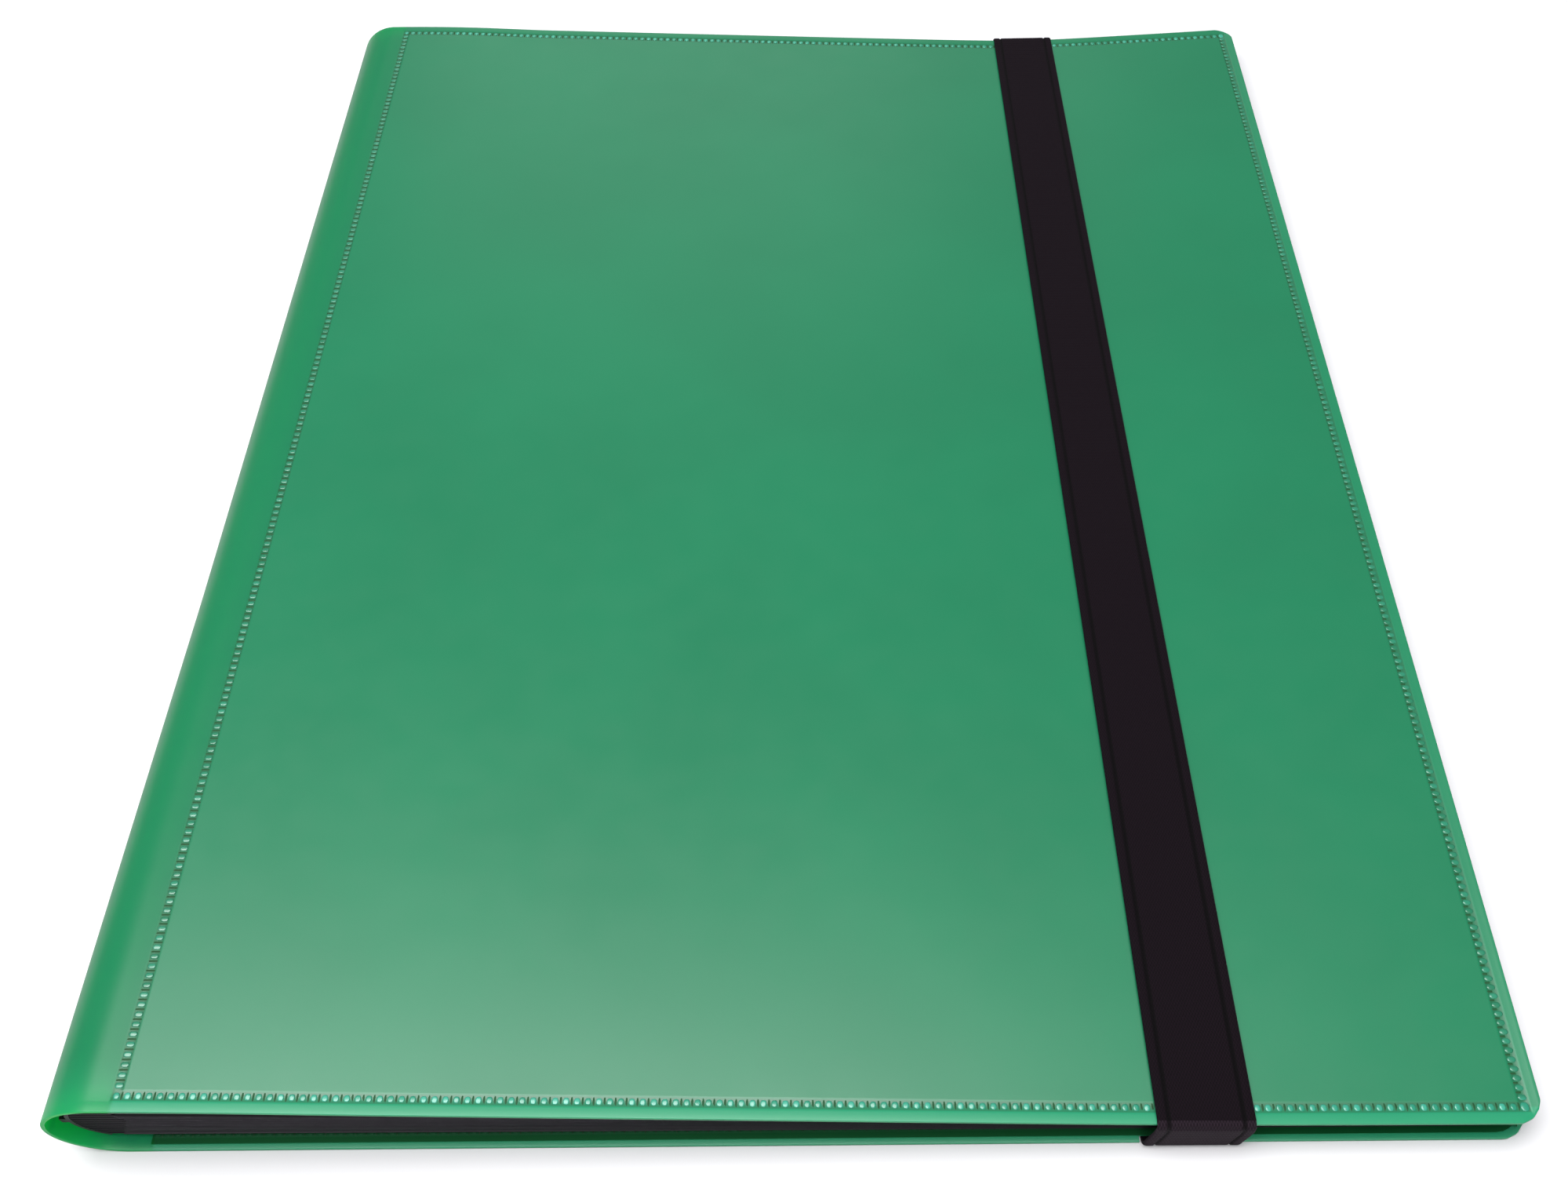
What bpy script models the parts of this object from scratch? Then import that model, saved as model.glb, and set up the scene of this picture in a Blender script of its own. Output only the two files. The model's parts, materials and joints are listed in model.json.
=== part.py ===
"""Pocket album with a flexible cover, an elastic closing strap and twenty leaves.

Row frame: metres, +Z up, the closed album lying on its back cover. The origin is under the middle
of the album on the resting face. +X runs from the spine to the fore-edge, +Y from tail to head.

The cover is one plastic sheet: back panel, U-shaped spine, front panel. It bends where the spine
curves into each panel, so it is cut there into three pieces that turn about two fold lines. The
leaf binding stands on the spine piece. Each leaf turns about its own line in front of the binding.
The closed album is symmetrical about a middle plane, so the front cover is the back cover's shape
turned over that plane.
"""

from math import asin, atan, cos, pi, radians, sin, sqrt, tan

import bmesh
import bpy
from mathutils import Vector

MM = 0.001

# overall size of the closed album
WIDTH = 270 * MM
LENGTH = 336 * MM
SPINE_HEIGHT = 22.4 * MM
FORE_EDGE_HEIGHT = 10.0 * MM

# cover sheet and its welded linings
SHEET = 0.8 * MM
LINING = 0.4 * MM
GAP = 0.3 * MM
CORNER_RADIUS = 5 * MM
PANEL_START = 15.2 * MM
LINING_START = 14.5 * MM
WELD_INSET = 3.0 * MM
LINING_LIP = 2.0 * MM
FOLD_GAP = 0.4 * MM

# leaves and their binding
LEAVES = 20
LEAF = 0.18 * MM
LEAF_INSET = 2.2 * MM
LEAF_FORE_INSET = 4.5 * MM
ROOT_PITCH = 0.76 * MM
FIRST_PIVOT = 10.5 * MM
PIVOT_CLEARANCE = 0.3 * MM
BINDING_CLEARANCE = 1.6 * MM
BINDING = 0.8 * MM
BINDING_RIB = 1.6 * MM

# elastic strap
STRAP_WIDTH = 17.6 * MM
STRAP = 1.1 * MM
STRAP_X_TAIL = 75.6 * MM
STRAP_X_HEAD = 71.4 * MM
TAIL_LEAN = 1.5 * MM
TAB = 0.7 * MM
TAB_DEPTH = 10 * MM

ARC_STEP = radians(6)

SPINE_X = -WIDTH / 2
FORE_X = WIDTH / 2
HALF_LENGTH = LENGTH / 2
TAB_X_TAIL = STRAP_X_TAIL - TAIL_LEAN
PANEL_X = SPINE_X + PANEL_START
SLOPE = atan((SPINE_HEIGHT - FORE_EDGE_HEIGHT) / (FORE_X - PANEL_X))

GREEN = (0.045, 0.36, 0.17)
BLACK = (0.012, 0.012, 0.014)
WEBBING = (0.021, 0.014, 0.02)
CLEAR_BLACK = (0.02, 0.022, 0.025)


def polar(centre, radius, turn):
    """Point of the spine's arc: turn 0 is its lowest point, a quarter turn its crest."""
    return centre[0] - radius * sin(turn), centre[1] - radius * cos(turn)


def along(start, angle, distance):
    """Point at a distance from start, in the XZ plane, at an angle above +X."""
    return start[0] + distance * cos(angle), start[1] + distance * sin(angle)


def front_height(x):
    """Height of the front cover's outer face above the resting face."""
    return SPINE_HEIGHT - (x - PANEL_X) * tan(SLOPE)


# the U is a circular arc that meets the middle surfaces of both panels smoothly
CREST_X = SPINE_X + SHEET / 2
RISE = SPINE_HEIGHT - SHEET - tan(SLOPE) * (CREST_X - PANEL_X)
SPINE_RADIUS = RISE * cos(SLOPE) / (1 + cos(SLOPE) + sin(SLOPE))
CENTRE = (CREST_X + SPINE_RADIUS, SHEET / 2 + SPINE_RADIUS)
SPINE_TURN = pi + SLOPE
FOLD_TURN = SPINE_TURN / 4

# opening the album unrolls each half of the U flat: turning the spine piece by half the U's turn
# about this line carries the U's crest to where the unrolled sheet would have it
LOW_FOLD = (
    CENTRE[0] - SPINE_RADIUS * FOLD_TURN,
    SHEET / 2 + SPINE_RADIUS * (1 - FOLD_TURN / tan(FOLD_TURN)),
)

# the closed album is symmetrical about a middle plane that falls by half the slope
MIDDLE_FALL = SLOPE / 2
LEAF_FORE_X = FORE_X - LEAF_FORE_INSET
INNER_HEIGHT = SHEET + GAP + LINING + GAP
FORE_PITCH = (front_height(LEAF_FORE_X) - 2 * INNER_HEIGHT - LEAF) / (LEAVES - 1)


def mirrored(point):
    """A point of the lower half carried across the album's middle plane."""
    dx, dz = point[0] - CENTRE[0], point[1] - CENTRE[1]
    c, s = cos(-SLOPE), sin(-SLOPE)
    return CENTRE[0] + c * dx + s * dz, CENTRE[1] + s * dx - c * dz


def leaf_lines():
    """(pivot, tip) of every leaf's middle line in the XZ plane, from the lowest leaf up."""
    lower = []
    for i in range(LEAVES // 2):
        steps_down = (LEAVES - 1) / 2 - i
        pivot_x = SPINE_X + FIRST_PIVOT + i * FORE_PITCH
        middle_z = CENTRE[1] - tan(MIDDLE_FALL) * (pivot_x - CENTRE[0])
        pivot = (pivot_x, middle_z - steps_down * ROOT_PITCH)
        tip = (LEAF_FORE_X, INNER_HEIGHT + LEAF / 2 + i * FORE_PITCH)
        lower.append((pivot, tip))
    upper = [(mirrored(pivot), mirrored(tip)) for pivot, tip in reversed(lower)]
    return lower + upper


def leaf_angle(line):
    """Angle of a leaf's line above +X."""
    (px, pz), (tx, tz) = line
    return asin((tz - pz) / sqrt((tx - px) ** 2 + (tz - pz) ** 2))


def clear_scene():
    for obj in list(bpy.data.objects):
        bpy.data.objects.remove(obj)


def new_collection(name):
    collection = bpy.data.collections.new(name)
    bpy.context.scene.collection.children.link(collection)
    return collection


def material(name, colour, roughness):
    """A plastic or cloth finish; nothing in the album is metal."""
    mat = bpy.data.materials.new(name)
    mat.use_nodes = True
    shader = mat.node_tree.nodes["Principled BSDF"]
    shader.inputs["Base Color"].default_value = (*colour, 1)
    shader.inputs["Roughness"].default_value = roughness
    shader.inputs["Metallic"].default_value = 0.0
    return mat


def flat_piece(name, outline, thickness, mat, collection):
    """A closed flat outline, thickened evenly to both sides of its own XY plane."""
    curve = bpy.data.curves.new(name, "CURVE")
    curve.dimensions = "2D"
    curve.fill_mode = "BOTH"
    curve.extrude = thickness / 2
    spline = curve.splines.new("POLY")
    spline.points.add(len(outline) - 1)
    for point, (x, y) in zip(spline.points, outline):
        point.co = (x, y, 0, 1)
    spline.use_cyclic_u = True
    curve.materials.append(mat)
    obj = bpy.data.objects.new(name, curve)
    collection.objects.link(obj)
    return obj


def bar(name, section, length, origin, mat, collection):
    """An XZ section carried along Y, centred on Y 0, with its object origin at a given XZ point."""
    outline = [(x - origin[0], z - origin[1]) for x, z in section]
    obj = flat_piece(name, outline, length, mat, collection)
    obj.rotation_euler = (pi / 2, 0, 0)
    obj.location = (origin[0], 0, origin[1])
    return obj


def arc_points(centre, radius, start, end):
    """Points of the spine's arc from one turn to another, both ends included."""
    steps = max(2, round(abs(end - start) / ARC_STEP))
    return [polar(centre, radius, start + (end - start) * i / steps) for i in range(steps + 1)]


def corner(cx, cy, radius, start):
    """A quarter circle about a corner's centre, anticlockwise from an angle."""
    steps = round(pi / 2 / ARC_STEP)
    angles = [start + pi / 2 * i / steps for i in range(steps + 1)]
    return [(cx + radius * cos(a), cy + radius * sin(a)) for a in angles]


def panel_outline(start, end, half_width, notches=()):
    """Anticlockwise panel outline with rounded corners at its far end and optional edge notches.

    A notch is (centre, half width, depth, side), with side -1 on the tail edge and 1 on the head."""
    inner = half_width - CORNER_RADIUS
    points = [(start, -half_width)]
    for centre, half, depth, side in notches:
        if side < 0:
            points += notch_points(centre, half, depth, -half_width, 1)
    points += corner(end - CORNER_RADIUS, -inner, CORNER_RADIUS, -pi / 2)
    points += corner(end - CORNER_RADIUS, inner, CORNER_RADIUS, 0)
    for centre, half, depth, side in notches:
        if side > 0:
            points += notch_points(centre, half, depth, half_width, -1)
    points.append((start, half_width))
    return points


def notch_points(centre, half, depth, edge, inward):
    """Four corners of a rectangular notch, in the order the outline passes them."""
    near, far = centre - inward * half, centre + inward * half
    floor = edge + inward * depth
    return [(near, edge), (near, floor), (far, floor), (far, edge)]


def placed_as_cover(obj, front):
    """Puts a piece drawn about the lower fold line on the back cover, or turned over on the front."""
    x, z = mirrored(LOW_FOLD) if front else LOW_FOLD
    obj.location = (x, 0, z)
    obj.rotation_euler = (pi, SLOPE, 0) if front else (0, 0, 0)
    return obj


def cover_sheet(name, notches, front, mat, collection):
    """A flat panel whose spine edge is carried round the first stretch of the U, then thickened."""
    bm = bmesh.new()
    level = SHEET / 2 - LOW_FOLD[1]
    outline = panel_outline(CENTRE[0], FORE_X, HALF_LENGTH, notches)
    verts = [bm.verts.new((x - LOW_FOLD[0], y, level)) for x, y in outline]
    bm.faces.new(verts)
    bm.edges.ensure_lookup_table()
    edge = bm.edges.get((verts[0], verts[-1]))
    arc = arc_points(CENTRE, SPINE_RADIUS, 0, FOLD_TURN - FOLD_GAP / 2 / SPINE_RADIUS)
    for (x0, z0), (x1, z1) in zip(arc, arc[1:]):
        grown = bmesh.ops.extrude_edge_only(bm, edges=[edge])["geom"]
        moved = [g for g in grown if isinstance(g, bmesh.types.BMVert)]
        bmesh.ops.translate(bm, verts=moved, vec=(x1 - x0, 0, z1 - z0))
        edge = bm.edges.get(moved)
    bmesh.ops.recalc_face_normals(bm, faces=bm.faces)
    mesh = bpy.data.meshes.new(name)
    bm.to_mesh(mesh)
    bm.free()
    mesh.materials.append(mat)
    obj = bpy.data.objects.new(name, mesh)
    collection.objects.link(obj)
    thicken = obj.modifiers.new("thicken", "SOLIDIFY")
    thicken.thickness = SHEET
    thicken.offset = 0
    thicken.use_even_offset = True
    return placed_as_cover(obj, front)


def lining(name, front, mat, collection):
    start = SPINE_X + LINING_START - LOW_FOLD[0]
    end = FORE_X - WELD_INSET + LINING_LIP - LOW_FOLD[0]
    outline = panel_outline(start, end, HALF_LENGTH - WELD_INSET + LINING_LIP)
    obj = flat_piece(name, outline, LINING, mat, collection)
    level = SHEET + GAP + LINING / 2 - LOW_FOLD[1]
    placed_as_cover(obj, front)
    obj.location += obj.rotation_euler.to_matrix() @ Vector((0, 0, level))
    return obj


def make_covers(sheet_mat, lining_mat, collection):
    half = STRAP_WIDTH / 2 + GAP
    notches = [
        (TAB_X_TAIL, half, TAB_DEPTH + GAP, -1),
        (STRAP_X_HEAD, half, TAB_DEPTH + GAP, 1),
    ]
    cover_sheet("back_cover_sheet", notches, False, sheet_mat, collection)
    cover_sheet("front_cover_sheet", (), True, sheet_mat, collection)
    lining("back_lining", False, lining_mat, collection)
    lining("front_lining", True, lining_mat, collection)


def make_spine(mat, collection):
    """The middle stretch of the U, between the two fold lines."""
    gap_turn = FOLD_GAP / 2 / SPINE_RADIUS
    start, end = FOLD_TURN + gap_turn, SPINE_TURN - FOLD_TURN - gap_turn
    outer = arc_points(CENTRE, SPINE_RADIUS + SHEET / 2, start, end)
    inner = arc_points(CENTRE, SPINE_RADIUS - SHEET / 2, end, start)
    bar("spine_sheet", outer + inner, LENGTH, LOW_FOLD, mat, collection)


def make_binding(lines, mat, collection):
    """A curved strip along the spine's inside, with a short tongue at the root of every leaf.

    A rib along the strip's back reaches to the spine, where the two are joined."""
    outer_radius = SPINE_RADIUS - SHEET / 2 - BINDING_CLEARANCE
    inner_radius = outer_radius - BINDING
    rib_radius = SPINE_RADIUS - SHEET / 2 - GAP
    middle = SPINE_TURN / 2
    reach = (LEAVES - 1) / 2 * ROOT_PITCH + LEAF
    half_turn = asin(reach / inner_radius)
    rib_turn = BINDING_RIB / 2 / outer_radius
    section = arc_points(CENTRE, outer_radius, middle + half_turn, middle + rib_turn)
    section += arc_points(CENTRE, rib_radius, middle + rib_turn, middle - rib_turn)
    section += arc_points(CENTRE, outer_radius, middle - rib_turn, middle - half_turn)
    for line in lines:
        pivot, angle = line[0], leaf_angle(line)
        end = along(pivot, angle, -PIVOT_CLEARANCE)
        under, over = (along(end, angle + pi / 2, side * LEAF / 2) for side in (-1, 1))
        section.append(arc_crossing(under, angle, inner_radius))
        section += [under, over]
        section.append(arc_crossing(over, angle, inner_radius))
    length = LENGTH - 2 * LEAF_INSET
    bar("leaf_binding", section, length, LOW_FOLD, mat, collection)


def arc_crossing(point, angle, radius):
    """Where a line through point, at an angle above +X, meets the arc on its spine side."""
    dx, dz = point[0] - CENTRE[0], point[1] - CENTRE[1]
    b = dx * cos(angle) + dz * sin(angle)
    c = dx * dx + dz * dz - radius * radius
    return along(point, angle, -b - sqrt(b * b - c))


def make_leaves(lines, mat, collection):
    for i, (pivot, tip) in enumerate(lines):
        angle = leaf_angle((pivot, tip))
        reach = sqrt((tip[0] - pivot[0]) ** 2 + (tip[1] - pivot[1]) ** 2)
        outline = panel_outline(PIVOT_CLEARANCE, reach, HALF_LENGTH - LEAF_INSET)
        leaf = flat_piece(f"leaf_{i + 1:02d}", outline, LEAF, mat, collection)
        leaf.location = (pivot[0], 0, pivot[1])
        leaf.rotation_euler = (0, -angle, 0)


def make_strap(mat, collection):
    """The band over the front cover, its two turns round the edges and its two flat ends.

    At the tail the band leans: it is fixed a little nearer the spine than it crosses the cover."""
    half = STRAP_WIDTH / 2
    outer_y = HALF_LENGTH + GAP + STRAP
    middle_x = (STRAP_X_TAIL + STRAP_X_HEAD) / 2
    stretch = 1 / cos(SLOPE)
    tail_u, head_u = (STRAP_X_TAIL - middle_x) * stretch, (STRAP_X_HEAD - middle_x) * stretch
    outline = [
        (tail_u - half, -outer_y),
        (tail_u + half, -outer_y),
        (head_u + half, outer_y),
        (head_u - half, outer_y),
    ]
    span = flat_piece("strap_span", outline, STRAP, mat, collection)
    span.location = (middle_x, 0, front_height(middle_x) + (GAP + STRAP / 2) * stretch)
    span.rotation_euler = (0, SLOPE, 0)
    ends = (("tail", STRAP_X_TAIL, TAB_X_TAIL, -1), ("head", STRAP_X_HEAD, STRAP_X_HEAD, 1))
    for name, x, tab_x, side in ends:
        left, right = x - half, x + half
        tab_left, tab_right = tab_x - half, tab_x + half
        section = [(tab_left, 0), (tab_right, 0)]
        section += [(right, front_height(right)), (left, front_height(left))]
        turn = bar(f"strap_turn_{name}", section, STRAP, (x, 0), mat, collection)
        turn.location.y = side * (HALF_LENGTH + GAP + STRAP / 2)
        low, high = sorted((side * (HALF_LENGTH - TAB_DEPTH), side * HALF_LENGTH))
        outline = [(tab_left, low), (tab_right, low), (tab_right, high), (tab_left, high)]
        end = flat_piece(f"strap_end_{name}", outline, TAB, mat, collection)
        end.location.z = TAB / 2


def main():
    clear_scene()
    collection = new_collection("stamp_album")
    sheet = material("cover_sheet", GREEN, 0.38)
    lining_mat = material("cover_lining", GREEN, 0.42)
    binding = material("leaf_binding", BLACK, 0.5)
    leaf = material("leaf", CLEAR_BLACK, 0.2)
    webbing = material("strap_webbing", WEBBING, 0.85)
    lines = leaf_lines()
    make_covers(sheet, lining_mat, collection)
    make_spine(sheet, collection)
    make_binding(lines, binding, collection)
    make_leaves(lines, leaf, collection)
    make_strap(webbing, collection)


main()
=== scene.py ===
"""Looks of the stamp album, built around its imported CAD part.

Metres, +Z up. +X runs from the spine to the fore-edge and +Y from the tail to the head. The album
lies closed on its back cover. Places come from the frame; the sizes below are the looks' own.
"""

import json
import math
import random
import bmesh
import bpy
from mathutils import Matrix, Vector


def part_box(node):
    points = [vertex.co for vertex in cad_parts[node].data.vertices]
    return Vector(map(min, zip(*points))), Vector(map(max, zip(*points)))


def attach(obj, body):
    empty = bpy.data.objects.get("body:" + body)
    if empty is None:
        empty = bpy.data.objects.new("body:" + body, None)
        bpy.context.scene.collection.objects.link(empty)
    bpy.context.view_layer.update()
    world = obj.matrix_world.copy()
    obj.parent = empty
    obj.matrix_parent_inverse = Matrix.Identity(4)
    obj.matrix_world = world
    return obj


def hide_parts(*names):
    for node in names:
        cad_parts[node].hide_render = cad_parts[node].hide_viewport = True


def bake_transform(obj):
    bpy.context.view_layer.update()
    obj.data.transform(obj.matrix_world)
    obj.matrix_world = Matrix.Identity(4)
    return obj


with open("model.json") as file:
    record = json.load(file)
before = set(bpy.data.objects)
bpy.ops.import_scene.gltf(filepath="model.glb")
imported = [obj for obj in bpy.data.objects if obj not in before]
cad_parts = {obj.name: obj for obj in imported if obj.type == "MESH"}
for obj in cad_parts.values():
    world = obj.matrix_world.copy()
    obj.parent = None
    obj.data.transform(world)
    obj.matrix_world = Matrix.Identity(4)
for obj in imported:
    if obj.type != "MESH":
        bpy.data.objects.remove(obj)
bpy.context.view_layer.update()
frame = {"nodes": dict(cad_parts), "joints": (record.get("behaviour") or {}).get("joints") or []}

MM = 0.001

# cover sheet
SHEET = 0.8 * MM
LINING = 0.4 * MM
LINING_GAP = 0.3 * MM
PINCHED_GAP = 0.03 * MM
PINCH_RUN = 3 * MM
EDGE_ROUND = 0.16 * MM
EDGE_CURL = 0.25 * MM
CORNER_RADIUS = 5 * MM
SPINE_FLARE = 1.17 * MM
FLARE_RUN = 118 * MM

# dotted weld that joins sheet and lining
WELD_INSET = 3.0 * MM
WELD_SPINE_INSET = 15.4 * MM
WELD_DOTS_ACROSS = 129
WELD_DOTS_SPINE = 175
WELD_DOTS_FORE = 193
WELD_FLOOR_HALF = 0.8 * MM
WELD_TOP_HALF = 1.0 * MM
WELD_SHOULDER = 0.25 * MM
WELD_DEPTH = 0.07 * MM
DOT_ALONG = 1.1 * MM
DOT_ACROSS = 1.25 * MM
SIDE_DOT_ALONG = 1.05 * MM
SIDE_DOT_ACROSS = 1.6 * MM
SLOT_ALONG = 0.4 * MM
SLOT_EXTRA = 0.4 * MM
SLOT_RISE = 0.02 * MM
DOT_RISE = 0.16 * MM
CORNER_DOT_GROWTH = 1.35
DOT_SEGMENTS = 10
DOT_LEAN = 0.05

# how the closed album settles: the strap presses the front cover down, the fore-edge curls up
STRAP_HEIGHT_TAIL = 10.0 * MM
STRAP_HEIGHT_HEAD = 7.9 * MM
FORE_HEIGHT_TAIL = 8.8 * MM
FORE_HEIGHT_HEAD = 8.5 * MM
SETTLE_ROUNDING = 1.2 * MM
SETTLE_START = 45 * MM

# leaves: a black core sheet between two clear pocket films
LEAF = 0.18 * MM
CORE_HALF = 0.05 * MM
WELDED_HALF = 0.06 * MM
POCKET_HALF = 0.09 * MM
CORE_MARGIN = 0.3 * MM
SPINE_MARGIN = 12 * MM
POCKETS = 3
POCKET_STEPS = 8
POCKET_WELD = 1.2 * MM
POCKET_SLIT = 2.2 * MM

# elastic strap
STRAP_HALF = 0.45 * MM
TAB_HALF = 0.35 * MM
STRAP_LIFT = 0.12 * MM
STRAP_CLEARANCE = 0.12 * MM
STRAP_HALF_WIDTH = 8.8 * MM
SELVEDGE = 2.1 * MM
GROOVE_DEPTH = 0.26 * MM
GROOVE_HALF = 0.32 * MM
RIB_PITCH = 1.0 * MM
RIB_DEPTH = 0.045 * MM
RIB_SAMPLES = 3
TURN_RADIUS = 1.0 * MM
FOOT_RADIUS = 1.65 * MM
FOOT_TOP = 2.4 * MM
CREASE_DEPTH = 0.2 * MM


# ------------------------------------------------------------------ places read from the frame

joints = {j["name"]: j for j in frame["joints"]}
back_low, back_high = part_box("back_cover_sheet")
FORE_X = back_high.x
HALF_LENGTH = back_high.y
SPINE_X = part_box("spine_sheet")[0].x
PANEL_X = SPINE_X + WELD_SPINE_INSET
WELD_FORE_X = FORE_X - WELD_INSET
WELD_HALF_LENGTH = HALF_LENGTH - WELD_INSET

# the spine is a circular arc; the album opens flat when the spine piece has turned through half of it
HALF_TURN = math.radians(joints["cover_opening"]["range_deg"][1])
SLOPE = 2 * HALF_TURN - math.pi
LOW_FOLD_X = joints["cover_opening"]["pos_m"][0]
RADIUS = (LOW_FOLD_X - SPINE_X - SHEET / 2) / (1 - HALF_TURN / 2)
CENTRE_X, CENTRE_Z = SPINE_X + SHEET / 2 + RADIUS, SHEET / 2 + RADIUS
PANEL_LENGTH = FORE_X - CENTRE_X
ARC_LENGTH = RADIUS * HALF_TURN
INNER_Z = SHEET + LINING_GAP + LINING


def mirrored(x, z):
    """A direction in the XZ plane, reflected in the closed album's middle plane."""
    c, s = math.cos(SLOPE), math.sin(SLOPE)
    return c * x - s * z, -s * x - c * z


def cover_section(s, front):
    """Middle point and outward normal in XZ, at a distance s from the fore-edge round to the crest."""
    if s <= PANEL_LENGTH:
        x, z, nx, nz = FORE_X - s - CENTRE_X, -RADIUS, 0, -1
    else:
        turn = (s - PANEL_LENGTH) / RADIUS
        nx, nz = -math.sin(turn), -math.cos(turn)
        x, z = RADIUS * nx, RADIUS * nz
    if front:
        (x, z), (nx, nz) = mirrored(x, z), mirrored(nx, nz)
    return CENTRE_X + x, CENTRE_Z + z, nx, nz


def flat_front(x):
    """Height of the unsettled front cover's outer face."""
    crown = CENTRE_Z + (RADIUS + SHEET / 2) / math.cos(SLOPE)
    return crown - (x - CENTRE_X) * math.tan(SLOPE)


def smooth(t):
    t = min(1, max(0, t))
    return t * t * (3 - 2 * t)


STRAP_X_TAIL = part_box("strap_turn_tail")[1].x - STRAP_HALF_WIDTH
STRAP_X_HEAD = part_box("strap_turn_head")[1].x - STRAP_HALF_WIDTH


def strap_x(y):
    """Where the slightly slanted strap's middle line crosses a given y."""
    share = (y / HALF_LENGTH + 1) / 2
    return STRAP_X_TAIL + (STRAP_X_HEAD - STRAP_X_TAIL) * share


def weld_offset(x, y):
    """Distance outwards from the line of the weld; negative on the lined panel inside it."""
    across = abs(x - (PANEL_X + WELD_FORE_X) / 2) - (WELD_FORE_X - PANEL_X) / 2
    return max(across, abs(y) - WELD_HALF_LENGTH)


def curl(x, y):
    """How far the front cover's free border springs up outside the weld."""
    beyond = abs(y) - WELD_HALF_LENGTH if x < PANEL_X else weld_offset(x, y)
    fade = smooth((x - SPINE_X) / WELD_SPINE_INSET)
    return EDGE_CURL * fade * max(0, beyond / WELD_INSET) ** 2


def flare(p):
    """Moves a point of the cover outwards where the spine splays at its tail end."""
    share = max(0, (FLARE_RUN - HALF_LENGTH - p[1]) / FLARE_RUN)
    share *= smooth((PANEL_X - p[0]) / WELD_SPINE_INSET)
    return (p[0] - SPINE_FLARE * share, p[1], p[2])


def dip(x, y):
    """How far the front cover's outer face has settled below its straight line."""
    share = (y / HALF_LENGTH + 1) / 2
    at_strap = STRAP_HEIGHT_TAIL + (STRAP_HEIGHT_HEAD - STRAP_HEIGHT_TAIL) * share
    at_fore = FORE_HEIGHT_TAIL + (FORE_HEIGHT_HEAD - FORE_HEIGHT_TAIL) * share
    crossing = at_strap - SETTLE_ROUNDING / 2
    middle = strap_x(y)
    start = flat_front(PANEL_X)
    fall = start - (x - PANEL_X) * (start - crossing) / (middle - PANEL_X)
    level = crossing + (x - middle) * (at_fore - crossing) / (FORE_X - middle)
    settled = (fall + level + math.hypot(fall - level, SETTLE_ROUNDING)) / 2
    return (flat_front(x) - settled) * smooth((x - PANEL_X) / SETTLE_START)


def height_share(p):
    """How far up a point lies between the two covers, from 0 to 1."""
    inner = flat_front(p[0]) - INNER_Z / math.cos(SLOPE)
    return min(1, max(0, (p[2] - INNER_Z) / (inner - INNER_Z)))


def settle(p, share=1.0):
    """Moves a point down as the closed album settles, by a share of the front cover's own fall."""
    if p[0] < PANEL_X:
        return p
    return (p[0], p[1], p[2] - dip(p[0], p[1]) * share)


# ------------------------------------------------------------------ mesh building


def mesh_object(name, verts, faces, uvs, materials, face_slots=None, angle=40):
    """A mesh object with plan coordinates in metres as its UV map."""
    mesh = bpy.data.meshes.new(name)
    mesh.from_pydata(verts, [], faces)
    layer = mesh.uv_layers.new(name="plan")
    for loop in mesh.loops:
        layer.data[loop.index].uv = uvs[loop.vertex_index]
    for material in materials:
        mesh.materials.append(material)
    if face_slots:
        mesh.polygons.foreach_set("material_index", face_slots)
    bm = bmesh.new()
    bm.from_mesh(mesh)
    bmesh.ops.recalc_face_normals(bm, faces=bm.faces)
    bm.to_mesh(mesh)
    bm.free()
    mesh.shade_smooth()
    mesh.set_sharp_from_angle(angle=math.radians(angle))
    obj = bpy.data.objects.new(name, mesh)
    bpy.context.scene.collection.objects.link(obj)
    return obj


def closed(lines, i):
    """Whether the strip between two neighbouring grid lines is closed, so that it is a weld."""
    return lines[i][1] == 0 and lines[i + 1][1] == 0


def shell(name, rows, columns, place, materials):
    """A closed sheet. place(row, column) gives plan coordinates, a lower and an upper point.

    The rim takes the last material, the two faces take the first. Where there are three, the second
    is for the strips between closed grid lines."""
    verts, uvs, faces, slots = [], [], [], []
    m, n = len(rows), len(columns)
    for upper in (0, 1):
        for row in rows:
            for column in columns:
                plan, low, high = place(row, column)
                verts.append(high if upper else low)
                uvs.append(plan)

    def at(upper, i, j):
        return (upper * m + i) * n + j

    for upper in (0, 1):
        for i in range(m - 1):
            for j in range(n - 1):
                quad = [at(upper, i, j), at(upper, i + 1, j), at(upper, i + 1, j + 1), at(upper, i, j + 1)]
                faces.append(quad if upper else quad[::-1])
                slots.append(1 if len(materials) == 3 and (closed(rows, i) or closed(columns, j)) else 0)
    ring = [(i, 0) for i in range(m)] + [(m - 1, j) for j in range(1, n)]
    ring += [(i, n - 1) for i in range(m - 2, -1, -1)] + [(0, j) for j in range(n - 2, 0, -1)]
    for a, b in zip(ring, ring[1:] + ring[:1]):
        faces.append([at(0, *a), at(0, *b), at(1, *b), at(1, *a)])
        slots.append(len(materials) - 1)
    return mesh_object(name, verts, faces, uvs, materials, slots)


def loft(name, rings, uvs, material):
    """A closed bar through rings of equal size, capped at both ends."""
    n = len(rings[0])
    verts = [p for ring in rings for p in ring]
    faces = []
    for i in range(len(rings) - 1):
        for j in range(n):
            k = (j + 1) % n
            faces.append([i * n + j, i * n + k, (i + 1) * n + k, (i + 1) * n + j])
    faces.append(list(range(n)))
    faces.append([len(verts) - n + j for j in range(n)])
    return mesh_object(name, verts, faces, [uv for ring in uvs for uv in ring], [material], angle=60)


def spread(start, end, step):
    """Evenly spaced values from start to end, both included, no further apart than step."""
    count = max(1, math.ceil(abs(end - start) / step - 1e-9))
    return [start + (end - start) * i / count for i in range(count + 1)]


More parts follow.
